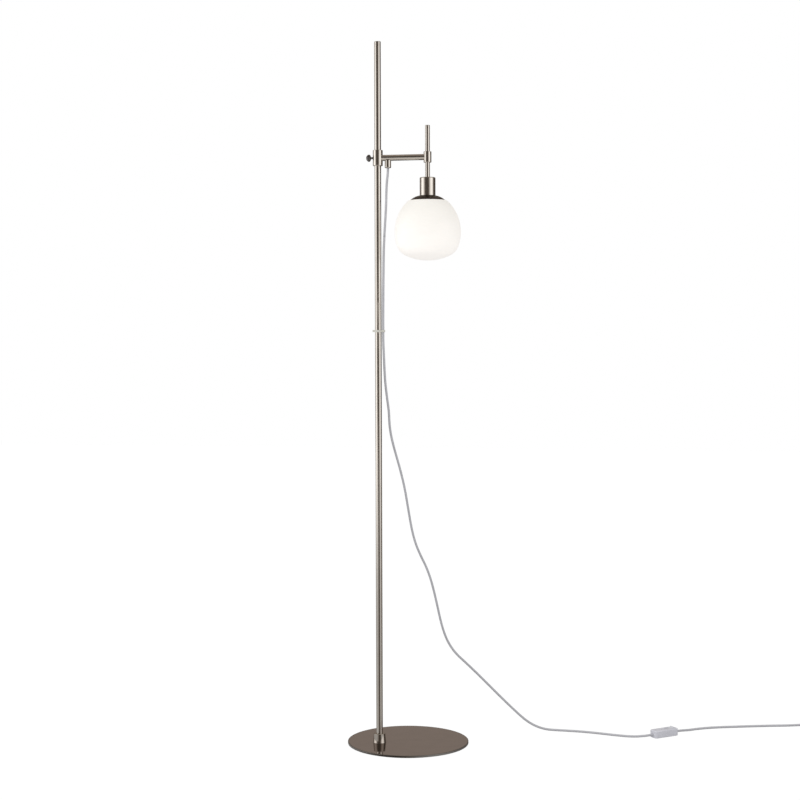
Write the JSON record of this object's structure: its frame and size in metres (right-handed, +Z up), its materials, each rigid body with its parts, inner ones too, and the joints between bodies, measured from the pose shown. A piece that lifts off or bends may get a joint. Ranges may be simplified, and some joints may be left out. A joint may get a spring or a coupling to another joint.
{
  "type": "floor lamp",
  "caption": "Slim floor lamp: round flat foot, straight pole, height-adjustable swivelling arm with an opal globe hung under an inverted cup, and a lead with a rocker switch.",
  "frame": {"origin": "centre of the round foot's underside, on the floor", "axes": "+Z up along the pole, +X along the arm from the pole to the lamp, +Y to the side that the lead falls to"},
  "size_m": [1.1021, 0.4352, 1.5],
  "materials": {
    "foot_nickel": "satin",
    "nickel": "brushed satin nickel",
    "dark_metal": "dark satin",
    "zinc": "zinc plated",
    "pin_brass": "nickel-plated brass",
    "foam": "closed-cell foam",
    "nylon": "matt",
    "clip_plastic": "satin",
    "cord": "satin",
    "inner_cord": "satin",
    "switch_plastic": "satin",
    "tie_plastic": "matt",
    "bush_rubber": "matt",
    "holder_plastic": "matt",
    "bulb_plastic": "opal",
    "opal_glass": "opal, glossy"
  },
  "bodies": {
    "stand": {"base_felt": "foam", "base_disc": "foot_nickel", "base_screw": "zinc", "base_collar": "foot_nickel", "pole_foot_plug": "zinc", "pole_lower": "nickel", "pole_socket": "zinc", "pole_stud": "zinc", "pole_upper": "nickel", "pole_cap": "nickel", "cable_clip": "clip_plastic", "cord_riser": "cord", "cord_drop": "cord", "switch_base": "switch_plastic", "switch_top": "switch_plastic", "rocker_pin": "zinc", "switch_contacts": "switch_plastic", "switch_screws": "zinc", "cord_tail": "cord", "cord_coil": "cord", "coil_tie": "tie_plastic", "plug_body": "switch_plastic", "plug_pins": "pin_brass"},
    "slider": {"clamp_liner": "nylon", "cord_neck": "cord"},
    "carriage": {"arm_clamp": "nickel", "arm_tube": "nickel", "cord_gland": "nickel", "gland_bush": "bush_rubber", "arm_sleeve": "nickel", "sleeve_screw": "zinc", "lamp_rod": "nickel", "rod_cap": "nickel", "rod_nut": "zinc", "holder_cup": "nickel", "lampholder_body": "holder_plastic", "lampholder_shell": "pin_brass", "holder_ring": "holder_plastic", "shade_cap": "dark_metal", "shade_carrier": "zinc", "glass_shade": "opal_glass", "bulb_base": "bulb_plastic", "bulb_glass": "bulb_plastic", "inner_lead": "inner_cord"},
    "thumb_screw": {"thumb_screw": "nickel"},
    "rocker": {"switch_rocker": "switch_plastic"}
  },
  "joints": [
    {"name": "arm_height", "type": "slide", "parent": "stand", "child": "slider", "axis": [0, 0, 1], "range_m": [-0.15, 0.2], "deforming": ["cord_riser"]},
    {"name": "arm_swivel", "type": "hinge", "parent": "slider", "child": "carriage", "pos_m": [-0.0582, -0.0241, 1.255], "axis": [0, 0, 1], "range_deg": [-90, 90], "deforming": ["cord_neck"]},
    {"name": "thumb_screw_turn", "type": "hinge", "parent": "carriage", "child": "thumb_screw", "pos_m": [-0.0782, -0.0241, 1.255], "axis": [-1, 0, 0], "range_deg": [0, 360]},
    {"name": "rocker", "type": "hinge", "parent": "stand", "child": "rocker", "pos_m": [0.55409, 0.15734, 0.012], "axis": [-0.6225, 0.7826, 0], "range_deg": [0, 14]}
  ]
}
